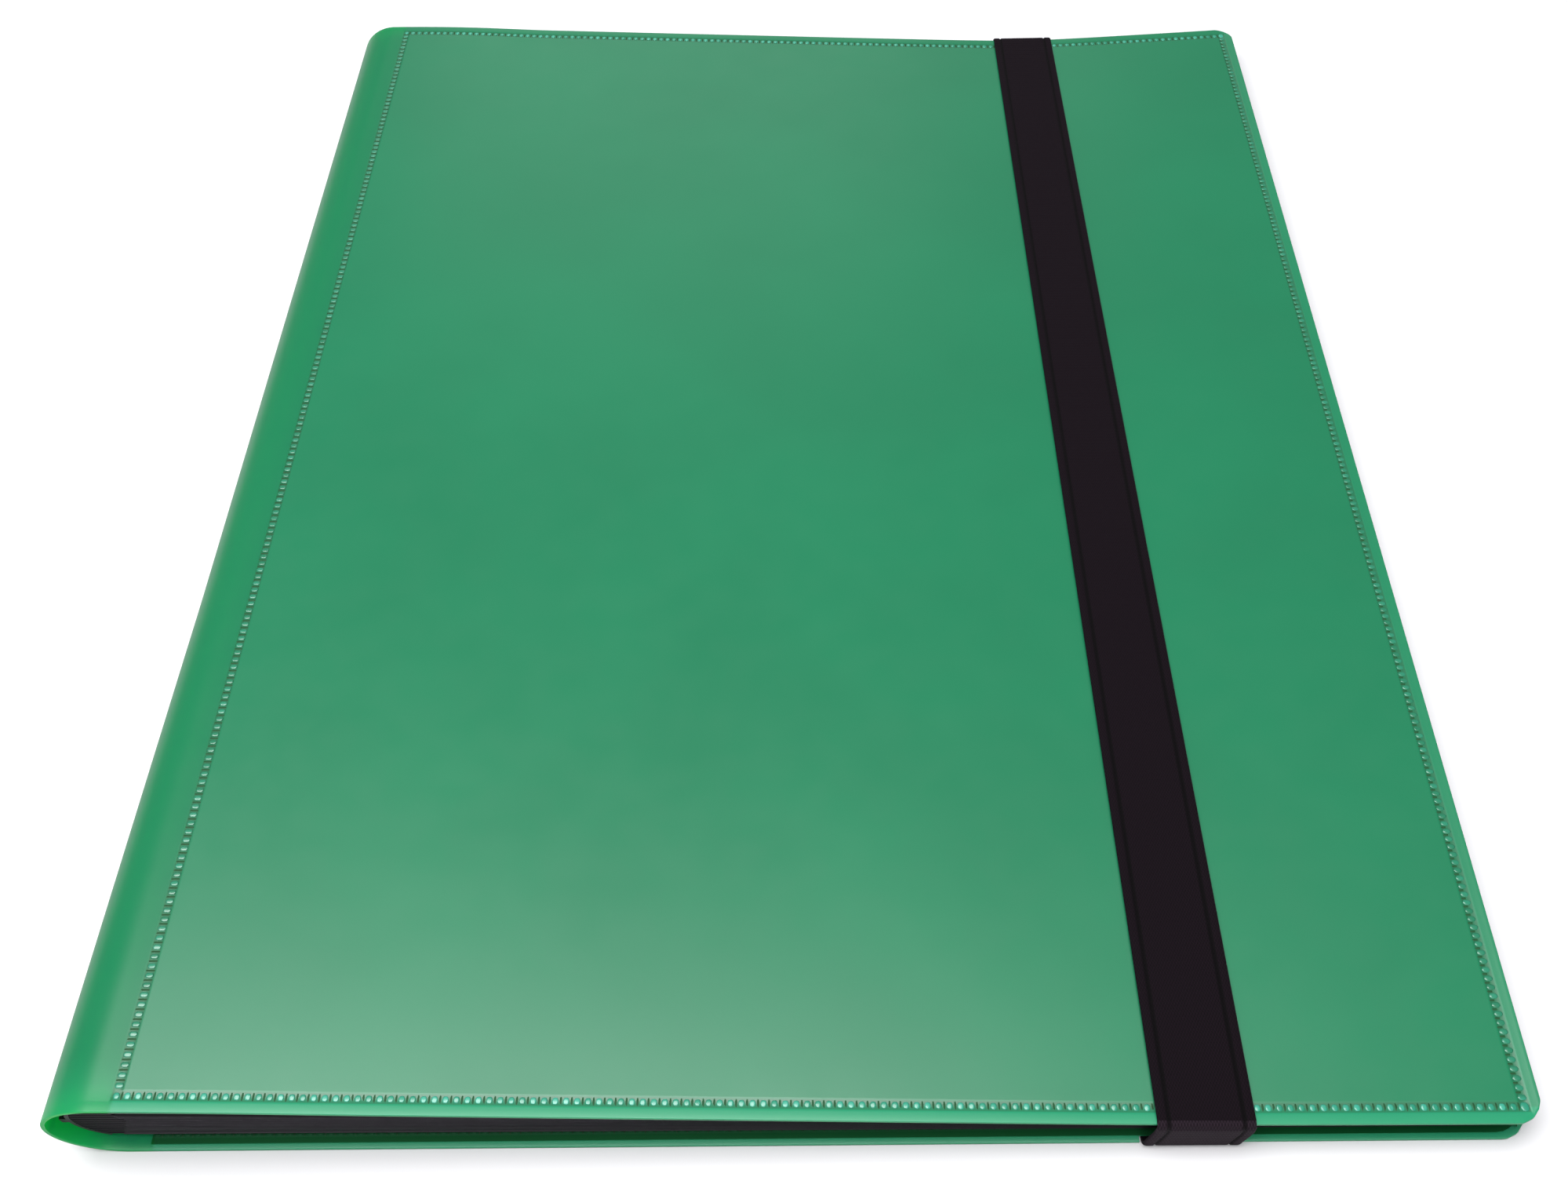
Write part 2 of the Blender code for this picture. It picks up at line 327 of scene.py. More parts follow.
def rounded_rows(start, radius, end, step):
    """(distance, drop) pairs from an outline's far edge: its rounded rim, its corners, then evenly."""
    rows = [(start + EDGE_ROUND * (1 - math.sin(a)), 1 - math.cos(a)) for a in RIM_ANGLES[::-1]]
    corner = [start + radius * (1 - math.cos(math.radians(a))) for a in range(15, 91, 15)]
    rows += [(s, 0) for s in corner if s > start + EDGE_ROUND * 1.5]
    rows += [(s, 0) for s in spread(start + radius, end, step)[1:]]
    return rows


RIM_ANGLES = [math.radians(a) for a in (0, 30, 60, 90)]
RIM_STEPS = [math.sin(a) for a in RIM_ANGLES[1:]]
GRID_STEP = 5 * MM
GRID_MERGE = 0.3 * MM
CORNER_SQUEEZE = 0.3


def half_width(distance, radius, full):
    """Half width of an outline with rounded corners, at a distance from its far edge."""
    if distance >= radius:
        return full
    return full - radius + math.sqrt(max(0, radius**2 - (radius - distance) ** 2))


# ------------------------------------------------------------------ materials


def node(tree, kind, settings=None, **inputs):
    """Adds a node, sets its properties, and links or sets its inputs (underscores stand for spaces)."""
    made = tree.nodes.new("ShaderNode" + kind)
    for key, value in (settings or {}).items():
        setattr(made, key, value)
    for key, value in inputs.items():
        by_number = key[0] == "i" and key[1:].isdigit()
        socket = made.inputs[int(key[1:]) if by_number else key.replace("_", " ")]
        if isinstance(value, bpy.types.NodeSocket):
            tree.links.new(value, socket)
        else:
            socket.default_value = value
    return made


def new_material(name):
    material = bpy.data.materials.new(name)
    material.use_nodes = True
    material.node_tree.nodes.clear()
    return material, material.node_tree


def rgba(colour, gain=1.0):
    return (*(c * gain for c in colour), 1)


def noise(tree, vector, size, detail=2.0, roughness=0.5):
    """Noise whose features are about the given size in metres, from 0 to 1."""
    return node(
        tree, "TexNoise", Vector=vector, Scale=1 / size, Detail=detail, Roughness=roughness
    ).outputs["Fac"]


def ramp(tree, value, low, high, to_low=0.0, to_high=1.0):
    made = node(
        tree,
        "MapRange",
        {"interpolation_type": "SMOOTHSTEP"},
        Value=value,
        From_Min=low,
        From_Max=high,
        To_Min=to_low,
        To_Max=to_high,
    )
    return made.outputs["Result"]


def mix_colour(tree, share, first, second):
    made = node(tree, "Mix", {"data_type": "RGBA"}, i0=share, i6=first, i7=second)
    return made.outputs[2]


def maths(tree, operation, first, second=0.0):
    return node(tree, "Math", {"operation": operation}, i0=first, i1=second).outputs[0]


def bump(tree, height, strength, distance, normal=None):
    inputs = {"Height": height, "Strength": strength, "Distance": distance}
    if normal is not None:
        inputs["Normal"] = normal
    return node(tree, "Bump", **inputs).outputs["Normal"]


def plan_axes(tree):
    """The plan coordinates and their two components."""
    plan = node(tree, "TexCoord").outputs["UV"]
    split = node(tree, "SeparateXYZ", Vector=plan)
    return plan, split.outputs["X"], split.outputs["Y"]


SHEET_GREEN = (0.0035, 0.134, 0.058)
# painted light: the brighter green of the borders beyond the weld, chiefly the tail border
LIT_BORDER_GREEN = (0.008, 0.205, 0.098)
SPINE_GREEN = (0.006, 0.168, 0.080)
# painted light: the cut edges and rims take a brighter green that stands for light glowing at the sheet's
# edges
LIT_EDGE_GREEN = (0.007, 0.200, 0.085)
# partly the lining's own darker green, partly painted shade: darkened for the shade that the front cover
# and the leaves cast on the inner faces
SHADED_LINING_GREEN = (0.0006, 0.050, 0.012)
GLOW_GREEN = (0.003, 0.900, 0.170)
# painted shade: the dark olive green that darkens the weld's groove
GROOVE_SHADE_GREEN = (0.010, 0.065, 0.028)
SPINE_GLOW_SHARE = 0.42
# painted light: how much of the brighter border green the fore-edge border takes
LIT_FORE_BORDER_SHARE = 0.25


def weld_masks(tree, x, y):
    """Three masks: the borders beyond the weld, brightened with painted light (fully at the tail, a quarter
    at the fore-edge), the unlined spine, and the weld's groove.
    """
    half_span = (WELD_FORE_X - PANEL_X) / 2
    from_middle = maths(tree, "ABSOLUTE", maths(tree, "SUBTRACT", x, (WELD_FORE_X + PANEL_X) / 2))
    across = maths(tree, "SUBTRACT", from_middle, half_span)
    lengthwise = maths(tree, "SUBTRACT", maths(tree, "ABSOLUTE", y), WELD_HALF_LENGTH)
    # painted light: the borders beyond the weld are brightened, fully at the tail (fading softly into the
    # unlined spine there) and by a quarter at the fore-edge
    beyond_fore = ramp(tree, x, WELD_FORE_X - 0.2 * MM, WELD_FORE_X + 0.2 * MM, 0.0, LIT_FORE_BORDER_SHARE)
    spine = ramp(tree, x, PANEL_X - 1 * MM, PANEL_X, 1.0, 0.0)
    from_tail = maths(tree, "ADD", y, WELD_HALF_LENGTH)
    beyond_tail = ramp(tree, from_tail, -0.2 * MM, 0.2 * MM, 1.0, 0.0)
    soft_tail = ramp(tree, from_tail, -2 * MM, 9 * MM, 1.0, 0.0)
    tail = mix_value(tree, spine, beyond_tail, soft_tail)
    offset = maths(tree, "ABSOLUTE", maths(tree, "MAXIMUM", across, lengthwise))
    in_groove = ramp(tree, offset, WELD_FLOOR_HALF, WELD_TOP_HALF, 1.0, 0.0)
    return maths(tree, "MAXIMUM", beyond_fore, tail), spine, in_groove


def mix_value(tree, share, first, second):
    made = node(tree, "Mix", {"data_type": "FLOAT"}, i0=share, i2=first, i3=second)
    return made.outputs[0]


def sheet_material(name, panel, border, spine_tone, glow_share, roughness, gloss=0.5):
    """Satin translucent plastic sheet: fine grain, slow waviness and light that shines through."""
    material, tree = new_material(name)
    plan, x, y = plan_axes(tree)
    outside, spine, in_groove = weld_masks(tree, x, y)
    cloud = ramp(tree, noise(tree, plan, 60 * MM, 3), 0.3, 0.7)
    base = mix_colour(tree, cloud, rgba(panel, 0.96), rgba(panel, 1.04))
    base = mix_colour(tree, spine, base, rgba(spine_tone))
    # painted light: the borders beyond the weld take the brighter border green
    colour = mix_colour(tree, outside, base, rgba(border))
    # painted shade: the weld's groove is darkened halfway to a dark olive green
    groove_shade = maths(tree, "MULTIPLY", in_groove, 0.5)
    colour = mix_colour(tree, groove_shade, colour, rgba(GROOVE_SHADE_GREEN))
    grain = noise(tree, plan, 0.35 * MM, 2)
    waves = noise(tree, plan, 28 * MM, 1)
    normal = bump(tree, grain, 0.12, 0.05 * MM)
    normal = bump(tree, waves, 0.25, 0.3 * MM, normal)
    rough = ramp(tree, noise(tree, plan, 8 * MM, 4), 0.2, 0.8, roughness - 0.02, roughness + 0.02)
    body = node(tree, "BsdfPrincipled", Base_Color=colour, Roughness=rough, Normal=normal)
    body.inputs["IOR"].default_value = 1.49
    body.inputs["Specular IOR Level"].default_value = gloss
    through = node(tree, "BsdfTranslucent", Color=rgba(GLOW_GREEN))
    share = mix_value(tree, spine, glow_share, SPINE_GLOW_SHARE)
    mixed = node(tree, "MixShader", i0=share, i1=body.outputs[0], i2=through.outputs[0])
    node(tree, "OutputMaterial", Surface=mixed.outputs[0])
    return material


def dot_material():
    """Melted weld dots: glossy, lighter than the sheet, each a little different; painted light makes the
    end rows palest.
    """
    material, tree = new_material("weld_dot")
    island = node(tree, "NewGeometry").outputs["Random Per Island"]
    _, _, y = plan_axes(tree)
    # painted light: the dots of the tail and head rows are lifted to a paler mint
    ends = ramp(tree, maths(tree, "ABSOLUTE", y), WELD_HALF_LENGTH - 2 * MM, WELD_HALF_LENGTH - 1 * MM)
    plain = mix_colour(tree, island, (0.005, 0.115, 0.055, 1), (0.010, 0.155, 0.085, 1))
    lit_mint = mix_colour(tree, island, (0.006, 0.165, 0.095, 1), (0.022, 0.240, 0.160, 1))
    colour = mix_colour(tree, ends, plain, lit_mint)
    body = node(tree, "BsdfPrincipled", Base_Color=colour, Roughness=0.3)
    body.inputs["Coat Weight"].default_value = 0.3
    body.inputs["Coat Roughness"].default_value = 0.1
    node(tree, "OutputMaterial", Surface=body.outputs[0])
    return material


def plain_material(name, colour, roughness, grain_size, grain_depth, gloss):
    material, tree = new_material(name)
    plan = node(tree, "TexCoord").outputs["Object"]
    grain = noise(tree, plan, grain_size, 3)
    shade = mix_colour(tree, grain, rgba(colour, 0.8), rgba(colour, 1.2))
    normal = bump(tree, grain, 0.4, grain_depth)
    body = node(tree, "BsdfPrincipled", Base_Color=shade, Roughness=roughness, Normal=normal)
    body.inputs["Specular IOR Level"].default_value = gloss
    node(tree, "OutputMaterial", Surface=body.outputs[0])
    return material


def film_material():
    """Clear pocket film: see-through with a soft gloss and slight ripples."""
    material, tree = new_material("pocket_film")
    plan = node(tree, "TexCoord").outputs["UV"]
    ripples = noise(tree, plan, 30 * MM, 2)
    normal = bump(tree, ripples, 0.35, 0.6 * MM)
    clear = node(tree, "BsdfTransparent", Color=(0.97, 0.98, 0.98, 1))
    gloss = node(tree, "BsdfGlossy", Color=(0.60, 0.52, 0.63, 1), Roughness=0.18, Normal=normal)
    share = node(tree, "Fresnel", IOR=1.3, Normal=normal).outputs[0]
    mixed = node(tree, "MixShader", i0=share, i1=clear.outputs[0], i2=gloss.outputs[0])
    node(tree, "OutputMaterial", Surface=mixed.outputs[0])
    return material


def webbing_material(name, dark, light):
    """Ribbed woven elastic: warp yarns along the strap, ribs across it, and painted shade along the groove
    by each selvedge.
    """
    material, tree = new_material(name)
    plan, along, across = plan_axes(tree)
    yarn = maths(tree, "SINE", maths(tree, "MULTIPLY", across, 2 * math.pi / (0.55 * MM)))
    rib = maths(tree, "SINE", maths(tree, "MULTIPLY", along, 2 * math.pi / RIB_PITCH))
    weave = maths(tree, "MULTIPLY", yarn, rib)
    fibre = noise(tree, plan, 0.18 * MM, 3, 0.7)
    height = maths(tree, "ADD", maths(tree, "MULTIPLY", weave, 0.35), fibre)
    tone = ramp(tree, height, 0.1, 0.9)
    colour = mix_colour(tree, tone, rgba(dark), rgba(light))
    # painted shade: the webbing darkens along the pressed groove by each selvedge
    from_line = maths(tree, "SUBTRACT", maths(tree, "ABSOLUTE", across), STRAP_HALF_WIDTH - SELVEDGE)
    line = ramp(tree, maths(tree, "ABSOLUTE", from_line), 0.25 * MM, 0.6 * MM, 0.85, 0.0)
    colour = mix_colour(tree, line, colour, rgba(dark, 0.3))
    normal = bump(tree, height, 0.7, 0.08 * MM)
    body = node(tree, "BsdfPrincipled", Base_Color=colour, Roughness=0.85, Normal=normal)
    body.inputs["Specular IOR Level"].default_value = 0.09
    body.inputs["Sheen Weight"].default_value = 0.04
    body.inputs["Sheen Roughness"].default_value = 0.4
    body.inputs["Sheen Tint"].default_value = (0.6, 0.5, 0.6, 1)
    node(tree, "OutputMaterial", Surface=body.outputs[0])
    return material


# ------------------------------------------------------------------ cover


def grooved(values, centre):
    """Sorted grid values with six more that give the weld's groove its shoulders, walls and floor."""
    offsets = (WELD_FLOOR_HALF, WELD_TOP_HALF, WELD_TOP_HALF + WELD_SHOULDER)
    lines = [centre + side * offset for offset in offsets for side in (-1, 1)]
    kept = [v for v in values if min(abs(v - line) for line in lines) > GRID_MERGE]
    return sorted(kept + lines)


def groove(x, y):
    """Depth of the pressed groove of the weld in the sheet's outer face."""
    beyond_floor = abs(weld_offset(x, y)) - WELD_FLOOR_HALF
    return WELD_DEPTH * (1 - smooth(beyond_floor / (WELD_TOP_HALF - WELD_FLOOR_HALF)))


def cover_half(front, materials):
    """One half of the wrap-around sheet, from its fore-edge round to the crest of the spine."""
    rim = rounded_rows(0, CORNER_RADIUS, PANEL_LENGTH, GRID_STEP)
    drops = {s: drop for s, drop in rim if drop}
    last_step = math.radians(1) * RADIUS
    crest = PANEL_LENGTH + ARC_LENGTH
    arc = spread(PANEL_LENGTH, crest - last_step, RADIUS * math.radians(3))[1:] + [crest]
    values = grooved(grooved([s for s, _ in rim] + arc, WELD_INSET), FORE_X - PANEL_X)
    rows = [(s, drops.get(s, 0)) for s in values]
    inner = HALF_LENGTH - EDGE_ROUND
    columns = spread(-inner, inner, GRID_STEP * 1.2)
    columns = grooved(grooved(columns, -WELD_HALF_LENGTH), WELD_HALF_LENGTH)
    columns = [(y, 0) for y in columns]
    columns = [(-inner, -g) for g in RIM_STEPS[::-1]] + columns + [(inner, g) for g in RIM_STEPS]

    def place(row, column):
        (s, row_drop), (column_y, rim_share) = row, column
        limit = half_width(s, CORNER_RADIUS, HALF_LENGTH) - EDGE_ROUND
        reach = min(abs(column_y), limit - CORNER_SQUEEZE * (inner - abs(column_y)))
        y = math.copysign(reach, column_y) + rim_share * EDGE_ROUND
        drop = max(row_drop, 1 - math.sqrt(1 - rim_share * rim_share))
        half = SHEET / 2 - EDGE_ROUND * drop
        x, z, nx, nz = cover_section(s, front)
        lift = curl(x, y) if front else 0
        points = []
        for away in (-half, half - groove(FORE_X - s, y)):
            points.append(flare((x + nx * (away + lift), y, z + nz * (away + lift))))
        if front:
            points = [settle(p) for p in points]
        return (FORE_X - s, y), points[0], points[1]

    side = "front" if front else "back"
    return shell(f"cover_{side}_half", rows, columns, place, materials)


def cut_notches(obj):
    """Cuts the two openings in the back cover's ends through which the strap's ends are fixed."""
    for end in ("tail", "head"):
        low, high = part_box(f"strap_end_{end}")
        outward = 1 if high.y > 0 else -1
        centre = (low + high) / 2 + Vector((0, outward * 1 * MM, 0))
        size = high - low + Vector((2 * LINING_GAP, 2 * MM + 2 * LINING_GAP, 4 * MM))
        bm = bmesh.new()
        bmesh.ops.create_cube(bm, size=1, matrix=Matrix.Translation(centre) @ Matrix.Diagonal((*size, 1)))
        mesh = bpy.data.meshes.new("notch")
        bm.to_mesh(mesh)
        bm.free()
        cutter = bpy.data.objects.new("notch", mesh)
        bpy.context.scene.collection.objects.link(cutter)
        modifier = obj.modifiers.new("notch", "BOOLEAN")
        modifier.operation, modifier.solver, modifier.object = "DIFFERENCE", "EXACT", cutter
        apply_modifiers(obj)
        bpy.data.objects.remove(cutter)


def apply_modifiers(obj):
    """Bakes an object's modifiers into its mesh."""
    evaluated = obj.evaluated_get(bpy.context.evaluated_depsgraph_get())
    baked = bpy.data.meshes.new_from_object(evaluated)
    obj.modifiers.clear()
    obj.data = baked


def lining(front, materials):
    """The thin inner sheet of a cover panel, pinched against the sheet along the weld and outside it."""
    low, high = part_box("back_lining")
    start, end = FORE_X - high.x, FORE_X - low.x
    values = spread(start + CORNER_RADIUS, end, GRID_STEP * 1.2)
    corner_rows = [start + CORNER_RADIUS * (1 - math.cos(math.radians(a))) for a in range(0, 90, 15)]
    rows = [(s, 0) for s in corner_rows + values]
    across = [y for y in spread(-high.y, high.y, GRID_STEP * 1.2) if abs(y) < HALF_LENGTH - 3 * PINCH_RUN]
    steps = (WELD_INSET + PINCH_RUN, WELD_INSET + PINCH_RUN / 2, WELD_INSET, WELD_INSET / 2)
    edge = [HALF_LENGTH - step for step in steps] + [high.y]
    across = [-y for y in edge[::-1]] + across + edge

    def place(row, y):
        s = row[0]
        limit = half_width(s - start, CORNER_RADIUS, high.y)
        y = math.copysign(min(abs(y), limit - CORNER_SQUEEZE * (high.y - abs(y))), y)
        x, z, nx, nz = cover_section(s, front)
        run = smooth(-weld_offset(x if not front else FORE_X - s, y) / PINCH_RUN)
        middle = SHEET / 2 + PINCHED_GAP + (LINING_GAP - PINCHED_GAP) * run + LINING / 2
        lift = curl(FORE_X - s, y) if front else 0
        points = []
        for side in (-1, 1):
            away = middle + side * LINING / 2 - lift
            points.append((x - nx * away, y, z - nz * away))
        if front:
            points = [settle(p) for p in points]
        return (FORE_X - s, y), points[0], points[1]

    name = "lining_front" if front else "lining_back"
    return shell(name, rows, across, place, materials)


def weld_places():
    """(x, y, turned, growth) of every weld dot; turned dots lie in the spine and fore-edge columns."""
    for i in range(WELD_DOTS_ACROSS):
        x = PANEL_X + (WELD_FORE_X - PANEL_X) * i / (WELD_DOTS_ACROSS - 1)
        growth = CORNER_DOT_GROWTH if i == WELD_DOTS_ACROSS - 1 else 1
        yield x, -WELD_HALF_LENGTH, False, growth
        yield x, WELD_HALF_LENGTH, False, growth
    for x, count in ((PANEL_X, WELD_DOTS_SPINE), (WELD_FORE_X, WELD_DOTS_FORE)):
        for i in range(1, count - 1):
            yield x, WELD_HALF_LENGTH * (2 * i / (count - 1) - 1), True, 1


def squircle(width, depth, segments):
    """Points of a rounded rectangle about the origin."""
    points = []
    for k in range(segments):
        angle = 2 * math.pi * (k + 0.5) / segments
        c, s = math.cos(angle), math.sin(angle)
        size = (abs(c) ** 3 + abs(s) ** 3) ** (-1 / 3) / 2
        points.append((width * c * size, depth * s * size))
    return points


def weld_marks(turned, growth):
    """(outline rings, slot share) of one weld mark: the raised dot and the pressed slot beside it.

    A ring is (points, height above the groove's floor)."""
    if turned:
        along, across = SIDE_DOT_ALONG, SIDE_DOT_ACROSS
    else:
        along, across = DOT_ALONG * growth, DOT_ACROSS * growth
    dome = [(1.0, -SLOT_RISE), (1.0, 0.35 * DOT_RISE), (0.8, 0.8 * DOT_RISE), (0.4, 0.98 * DOT_RISE)]
    slot = [(1.0, -SLOT_RISE), (0.9, SLOT_RISE)]
    shapes = []
    for rings, size_along, size_across in (
        (dome, along, across),
        (slot, SLOT_ALONG, across + SLOT_EXTRA),
    ):
        size = (size_across, size_along) if turned else (size_along, size_across)
        shapes.append([(squircle(size[0] * g, size[1] * g, DOT_SEGMENTS), rise) for g, rise in rings])
    return shapes


def weld_dots(name, front, face, materials):
    """The weld's raised dots with slots between them, on a cover's outer or inner face; the slots' dark
    colour is painted shade.
    """
    rng = random.Random(7)
    verts, uvs, faces, slots = [], [], [], []
    outward = 1 if face == "outer" else -1
    away = SHEET / 2 - WELD_DEPTH if face == "outer" else SHEET / 2 + PINCHED_GAP + LINING
    for x, y, turned, growth in weld_places():
        pitch = 2 * WELD_HALF_LENGTH / ((WELD_DOTS_SPINE if x < 0 else WELD_DOTS_FORE) - 1)
        if not turned:
            pitch = (WELD_FORE_X - PANEL_X) / (WELD_DOTS_ACROSS - 1)
        dot, slot = weld_marks(turned, growth)
        lean_x, lean_y = rng.uniform(-DOT_LEAN, DOT_LEAN), rng.uniform(-DOT_LEAN, DOT_LEAN)
        height = rng.uniform(0.75, 1.0)
        for rings, step, slot_index in ((dot, 0, 0), (slot, pitch / 2, 1)):
            mx, my = (x, y + step) if turned else (x + step, y)
            cx, cz, nx, nz = cover_section(FORE_X - mx, front)
            lift = curl(mx, my) if front else 0
            cx, cz = cx + nx * lift, cz + nz * lift
            if front:
                cx, _, cz = settle((cx, my, cz))
            nx, nz = nx * outward, nz * outward
            first, count = len(verts), len(rings[0][0])
            points = [(px, py, rise) for ring, rise in rings for px, py in ring] + [(0, 0, rings[-1][1])]
            for px, py, rise in points:
                lean = lean_x * px + lean_y * py if rise > SLOT_RISE else 0
                up = away + rise * height + lean
                verts.append((cx - nz * px + nx * up, my + py, cz + nx * px + nz * up))
                uvs.append((mx + px, my + py))
            for ring in range(len(rings) - 1):
                for k in range(count):
                    a, b = first + ring * count + k, first + ring * count + (k + 1) % count
                    faces.append([a, b, b + count, a + count])
            top, last = first + len(rings) * count, first + (len(rings) - 1) * count
            faces += [[last + k, last + (k + 1) % count, top] for k in range(count)]
            faces.append([first + k for k in range(count)])
            slots += [slot_index] * (len(rings) * count + 1)
    return mesh_object(name, verts, faces, uvs, materials, slots, angle=80)


# ------------------------------------------------------------------ leaves


def leaf_place(number):
    """Pivot, direction and length of a leaf's middle line, and half of its width."""
    low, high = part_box(f"leaf_{number:02d}")
    px, _, pz = joints[f"leaf_{number:02d}_turn"]["pos_m"]
    dx, dz = high.x - px, low.z + LEAF / 2 - pz
    reach = math.hypot(dx, dz)
    return Vector((px, 0, pz)), Vector((dx / reach, 0, dz / reach)), reach, high.y


def pocket_lines(start, end, slit):
    """(position, openness) of the grid lines over the pockets; openness is 0 on welds and in slits."""
    lines = []
    pitch = (end - start) / POCKETS
    for k in range(POCKETS):
        a = start + k * pitch
        lines += [(a, 0), (a + POCKET_WELD, 0)]
        if slit:
            lines += [(a + POCKET_WELD + POCKET_SLIT, 0)]
        first = lines[-1][0]
        lines.append((first + 0.5 * MM, 0.75))
        last = a + pitch - POCKET_WELD
        lines += [(first + (last - first) * step / POCKET_STEPS, 1) for step in range(1, POCKET_STEPS)]
        lines += [(last - 0.5 * MM, 0.75), (last, 0)]
    lines.append((end, 0))
    return lines


def leaf_piece(number, name, rows, columns, half_of, materials):
    """A sheet that lies along a leaf's middle line and settles with the closed album."""
    pivot, direction, reach, width = leaf_place(number)
    up = Vector((-direction.z, 0, direction.x))
    shift = random.Random(number).uniform(-0.25, 0.25) * MM
    share = height_share(pivot + direction * reach)

    def place(row, column):
        d = row[0]
        y = column[0] * half_width(reach - d, CORNER_RADIUS, width) / width
        centre = pivot + direction * d + Vector((0, y + shift, 0))
        half = half_of(row, column)
        middle = Vector(settle(tuple(centre), share))
        return (d, y), tuple(middle - up * half), tuple(middle + up * half)

    return shell(name, rows(reach), columns(width), place, materials)


def root_rows():
    """Close grid lines where the leaf bends at its root."""
    return [(d * MM, 0) for d in (-0.3, 0, 0.4, 0.8, 1.2, 1.7, 2.3, 3.0, 5.0)]


def corner_rows(reach):
    """Grid lines round a leaf's far corners."""
    return [(reach - CORNER_RADIUS * (1 - math.cos(math.radians(a))), 0) for a in (45, 30, 15, 0)]


def film_rows(reach):
    lines = pocket_lines(SPINE_MARGIN, reach - CORNER_RADIUS * 0.6, True)
    return root_rows() + lines + corner_rows(reach)


def film_columns(width):
    return pocket_lines(-width, width, False)


def core_rows(reach):
    """The film's grid lines, ending a little short of its edge, so that both bend alike."""
    inside = [row for row in film_rows(reach) if row[0] < reach - 2 * CORE_MARGIN]
    return inside + [(reach - CORE_MARGIN, 0)]


def core_columns(width):
    shrink = 1 - CORE_MARGIN / width
    return [(y * shrink, 0) for y, _ in film_columns(width)]


def pocket_half(row, column):
    return WELDED_HALF + (POCKET_HALF - WELDED_HALF) * min(row[1], column[1])


def make_leaf(number, core_material, film, hem):
    """One leaf: its black core sheet and the clear film that makes its pockets."""
    node_name = f"leaf_{number:02d}"
    core = leaf_piece(
        number, f"{node_name}_core", core_rows, core_columns, lambda r, c: CORE_HALF, [core_material]
    )
    pockets = leaf_piece(
        number, f"{node_name}_pockets", film_rows, film_columns, pocket_half, [film, hem, film]
    )
    for piece in (core, pockets):
        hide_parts(node_name)
        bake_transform(piece)


# ------------------------------------------------------------------ strap


def strap_profile():
    """(across, share of full half thickness) points over the strap's outer face."""
    w = STRAP_HALF_WIDTH
    groove = w - SELVEDGE
    half = [
        (w, 0.35),
        (w - 0.12 * MM, 0.72),
        (w - 0.45 * MM, 0.97),
        (w - 1.0 * MM, 1.0),
        (groove + GROOVE_HALF, 0.95),
        (groove, 1 - GROOVE_DEPTH / STRAP_HALF),
        (groove - GROOVE_HALF, 0.88),
        (groove - 2 * GROOVE_HALF, 0.92),
        (groove * 0.5, 0.92),
    ]
    return [(-a, h) for a, h in half] + [(0, 0.92)] + half[::-1]


def ring_at(point, across, normal, half, s, crease=0.0):
    """One closed ring of the strap round a point of its middle line, and its plan coordinates.

    A crease lowers the face between the two grooves."""
    ring, uvs = [], []
    rib = RIB_DEPTH * math.cos(2 * math.pi * s / RIB_PITCH)
    for a, share in strap_profile():
        inside = abs(a) < STRAP_HALF_WIDTH - SELVEDGE - GROOVE_HALF
        lift = half * share + rib * min(1, share) - (crease if inside else 0)
        ring.append((a, lift))
    for a, share in ((0.98, -0.8), (0.5, -0.92), (-0.5, -0.92), (-0.98, -0.8)):
        ring.append((a * STRAP_HALF_WIDTH, share * half))
    points = []
    for a, lift in ring:
        base = point(a) if callable(point) else point + across * a
        points.append(tuple(base + normal * lift))
        uvs.append((s, a))
    return points, uvs


def front_surface(x, y):
    """Point of the settled front cover's outer face above (x, y)."""
    return Vector(settle((x, y, flat_front(x))))


def side_stations(side):
    """(y, z, normal, half thickness, crease, piece) along the strap's end, from the tab to the span.

    Also the x and z where the end meets the span, and how far the tab lies from that x."""
    label = "tail" if side < 0 else "head"
    x = STRAP_X_TAIL if side < 0 else STRAP_X_HEAD
    tab_low, tab_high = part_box(f"strap_end_{label}")
    lean_x = (tab_low.x + tab_high.x) / 2 - x
    top = front_surface(x, side * HALF_LENGTH).z + STRAP_LIFT + STRAP_HALF
    leg_y = side * (HALF_LENGTH + STRAP_CLEARANCE + STRAP_HALF)
    foot_y = leg_y - side * FOOT_RADIUS
    turn_y = leg_y - side * TURN_RADIUS
    tab_y = tab_high.y if side < 0 else tab_low.y
    step = RIB_PITCH / RIB_SAMPLES
    down, out = Vector((0, 0, -1)), Vector((0, side, 0))
    stations = [(y, TAB_HALF, down, TAB_HALF, 0, "end") for y in spread(tab_y, foot_y, step)]
    for a in spread(0, math.pi / 2, step / FOOT_RADIUS):
        y = foot_y + side * FOOT_RADIUS * math.sin(a)
        z = TAB_HALF + FOOT_RADIUS * (1 - math.cos(a))
        half = TAB_HALF + (STRAP_HALF - TAB_HALF) * smooth(a)
        stations.append((y, z, down * math.cos(a) + out * math.sin(a), half, 0, "foot"))
    foot_z = TAB_HALF + FOOT_RADIUS
    stations += [(leg_y, z, out, STRAP_HALF, 0, "foot") for z in spread(foot_z, FOOT_TOP, step)[1:]]
    leg_z = top - TURN_RADIUS
    stations += [(leg_y, z, out, STRAP_HALF, 0, "leg") for z in spread(FOOT_TOP, leg_z, step)]
    for a in spread(0, math.pi / 2, step / TURN_RADIUS)[1:]:
        y = turn_y + side * TURN_RADIUS * math.cos(a)
        z = leg_z + TURN_RADIUS * math.sin(a)
        crease = CREASE_DEPTH * max(0, 1 - abs(a - 0.5) / 0.35)
        stations.append((y, z, out * math.cos(a) - down * math.sin(a), STRAP_HALF, crease, "leg"))
    return x, top, lean_x, stations


